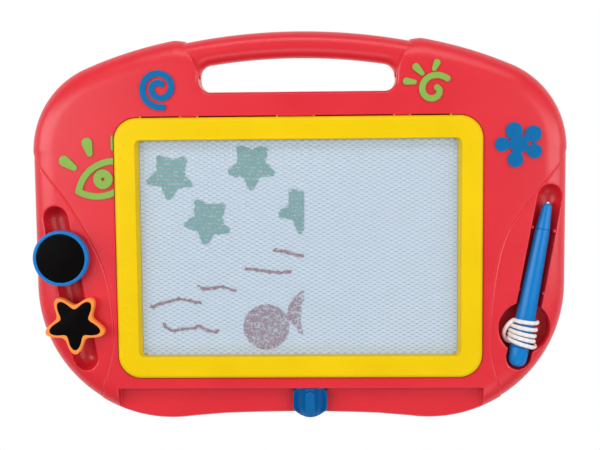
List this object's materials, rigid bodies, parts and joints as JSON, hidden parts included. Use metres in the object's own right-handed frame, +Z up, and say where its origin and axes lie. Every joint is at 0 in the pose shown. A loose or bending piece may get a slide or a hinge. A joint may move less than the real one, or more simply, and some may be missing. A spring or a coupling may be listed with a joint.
{
  "type": "magnetic drawing board",
  "caption": "Flat two-shell magnetic drawing board with carry handle, framed screen, sliding eraser bar, corded magnetic pen in a well and lift-out magnet stamps.",
  "frame": {"origin": "centre of the board's bounding box, on the table under its flat back", "axes": "+X to the right as the screen is read, +Y towards the carry handle, +Z up out of the screen"},
  "size_m": [0.413, 0.3012, 0.0354],
  "materials": {
    "red_shell": "satin",
    "red_back": "satin",
    "yellow_frame": "satin",
    "clear_film": "clear",
    "cell_core": "matte",
    "white_film": "matte",
    "blue_badge": "satin",
    "green_badge": "satin",
    "blue_knob": "satin",
    "blue_pen": "satin",
    "blue_stamp": "satin",
    "orange_stamp": "satin",
    "grey_plastic": "matte",
    "magnet_strip": "matte",
    "magnet_sheet": "matte",
    "nickel_magnet": "satin",
    "zinc_steel": "satin",
    "white_cord": "braided"
  },
  "bodies": {
    "case": {"front_shell": "red_shell", "back_shell": "red_back", "screen_frame": "yellow_frame", "front_film": "clear_film", "honeycomb_core": "cell_core", "back_film": "white_film", "spiral_badge": "blue_badge", "sun_badge": "green_badge", "eye_badge": "green_badge", "splat_badge": "blue_badge", "case_screws": "zinc_steel", "cord_tail": "white_cord", "cord_knot": "white_cord"},
    "eraser": {"slider_knob": "blue_knob", "eraser_arm": "grey_plastic", "eraser_magnet": "magnet_strip", "arm_screw": "zinc_steel"},
    "pen": {"pen_barrel": "blue_pen", "pen_nose": "blue_pen", "pen_end_plug": "blue_pen", "pen_magnet": "nickel_magnet", "cord_winding": "white_cord", "cord_loop": "white_cord"},
    "round_stamp": {"round_stamp_body": "blue_stamp", "round_stamp_magnet": "magnet_sheet"},
    "star_stamp": {"star_stamp_body": "orange_stamp", "star_stamp_magnet": "magnet_sheet"}
  },
  "joints": [
    {"name": "eraser_slide", "type": "slide", "parent": "case", "child": "eraser", "axis": [1, 0, 0], "range_m": [-0.136, 0.1204]},
    {"name": "pen_lift", "type": "slide", "parent": "case", "child": "pen", "axis": [0, 0, 1], "range_m": [0, 0.06]},
    {"name": "round_stamp_lift", "type": "slide", "parent": "case", "child": "round_stamp", "axis": [0, 0, 1], "range_m": [0, 0.05]},
    {"name": "star_stamp_lift", "type": "slide", "parent": "case", "child": "star_stamp", "axis": [0, 0, 1], "range_m": [0, 0.05]}
  ]
}
